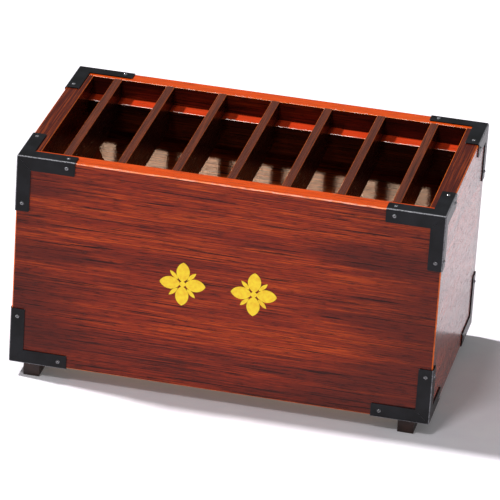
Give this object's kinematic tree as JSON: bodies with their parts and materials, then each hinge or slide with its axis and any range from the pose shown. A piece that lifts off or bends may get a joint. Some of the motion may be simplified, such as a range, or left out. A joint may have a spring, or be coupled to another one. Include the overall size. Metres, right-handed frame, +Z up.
{
  "type": "offertory coin box",
  "caption": "Low lacquered wooden offertory box with an open slatted top over a coin hopper, black iron corner fittings, runners, and a lockable drawer in the rear face.",
  "frame": {"origin": "on the standing surface, under the centre of the whole object's box, which the rear ring pull makes 3.15 mm deeper at the back than the carcass", "axes": "+X to the right of someone facing the front, +Y to the rear (the drawer side), +Z up"},
  "size_m": [0.305, 0.1814, 0.1698],
  "materials": {
    "lacquered_board": "red-brown lacquer over open-pored hardwood, glossy",
    "lacquered_inner_wood": "red-brown lacquer, satin",
    "lacquered_slat": "brown lacquer, satin",
    "plain_wood": "planed, unfinished",
    "dark_runner_wood": "dark stained, matt",
    "black_iron": "black baked paint, semi-gloss",
    "black_nail": "black, polished heads",
    "gilt": "gilded, satin",
    "lock_brass": "polished",
    "plated_steel": "zinc plated"
  },
  "bodies": {
    "carcass": {"front_board": "lacquered_board", "rear_board": "lacquered_board", "left_end_board": "lacquered_board", "right_end_board": "lacquered_board", "front_slat_ledge": "lacquered_inner_wood", "rear_slat_ledge": "lacquered_inner_wood", "front_hopper_board": "lacquered_inner_wood", "right_hopper_board": "lacquered_inner_wood", "rear_hopper_board": "lacquered_inner_wood", "left_hopper_board": "lacquered_inner_wood", "slat_1": "lacquered_slat", "slat_2": "lacquered_slat", "slat_3": "lacquered_slat", "slat_4": "lacquered_slat", "slat_5": "lacquered_slat", "slat_6": "lacquered_slat", "slat_7": "lacquered_slat", "bottom_board": "plain_wood", "left_drawer_guide": "plain_wood", "right_drawer_guide": "plain_wood", "drawer_stop": "plain_wood", "front_hopper_cleat": "plain_wood", "right_hopper_cleat": "plain_wood", "rear_hopper_cleat": "plain_wood", "left_hopper_cleat": "plain_wood", "left_runner": "dark_runner_wood", "right_runner": "dark_runner_wood", "top_front_left_fitting": "black_iron", "top_front_right_fitting": "black_iron", "top_rear_left_fitting": "black_iron", "top_rear_right_fitting": "black_iron", "bottom_front_left_fitting": "black_iron", "bottom_front_right_fitting": "black_iron", "bottom_rear_left_fitting": "black_iron", "bottom_rear_right_fitting": "black_iron", "fitting_nails": "black_nail", "left_gilt_ornament": "gilt", "right_gilt_ornament": "gilt", "runner_screws": "plated_steel"},
    "drawer": {"drawer_front": "lacquered_board", "left_drawer_side": "plain_wood", "right_drawer_side": "plain_wood", "drawer_back": "plain_wood", "drawer_floor": "plain_wood", "pull_plate": "black_iron", "pull_staple": "black_iron", "lock_barrel": "lock_brass", "lock_nut": "plated_steel"},
    "ring": {"pull_ring": "black_iron"},
    "lock_bolt": {"lock_plug": "lock_brass", "lock_cam": "plated_steel", "cam_screw": "plated_steel"}
  },
  "joints": [
    {"name": "drawer_slide", "type": "slide", "parent": "carcass", "child": "drawer", "axis": [0, 1, 0], "range_m": [0, 0.11]},
    {"name": "ring_swing", "type": "hinge", "parent": "drawer", "child": "ring", "pos_m": [0, 0.0872, 0.0467], "axis": [1, 0, 0], "range_deg": [-8, 170]},
    {"name": "lock_turn", "type": "hinge", "parent": "drawer", "child": "lock_bolt", "pos_m": [-0.062, 0.0749, 0.0481], "axis": [0, -1, 0], "range_deg": [0, 90]}
  ]
}
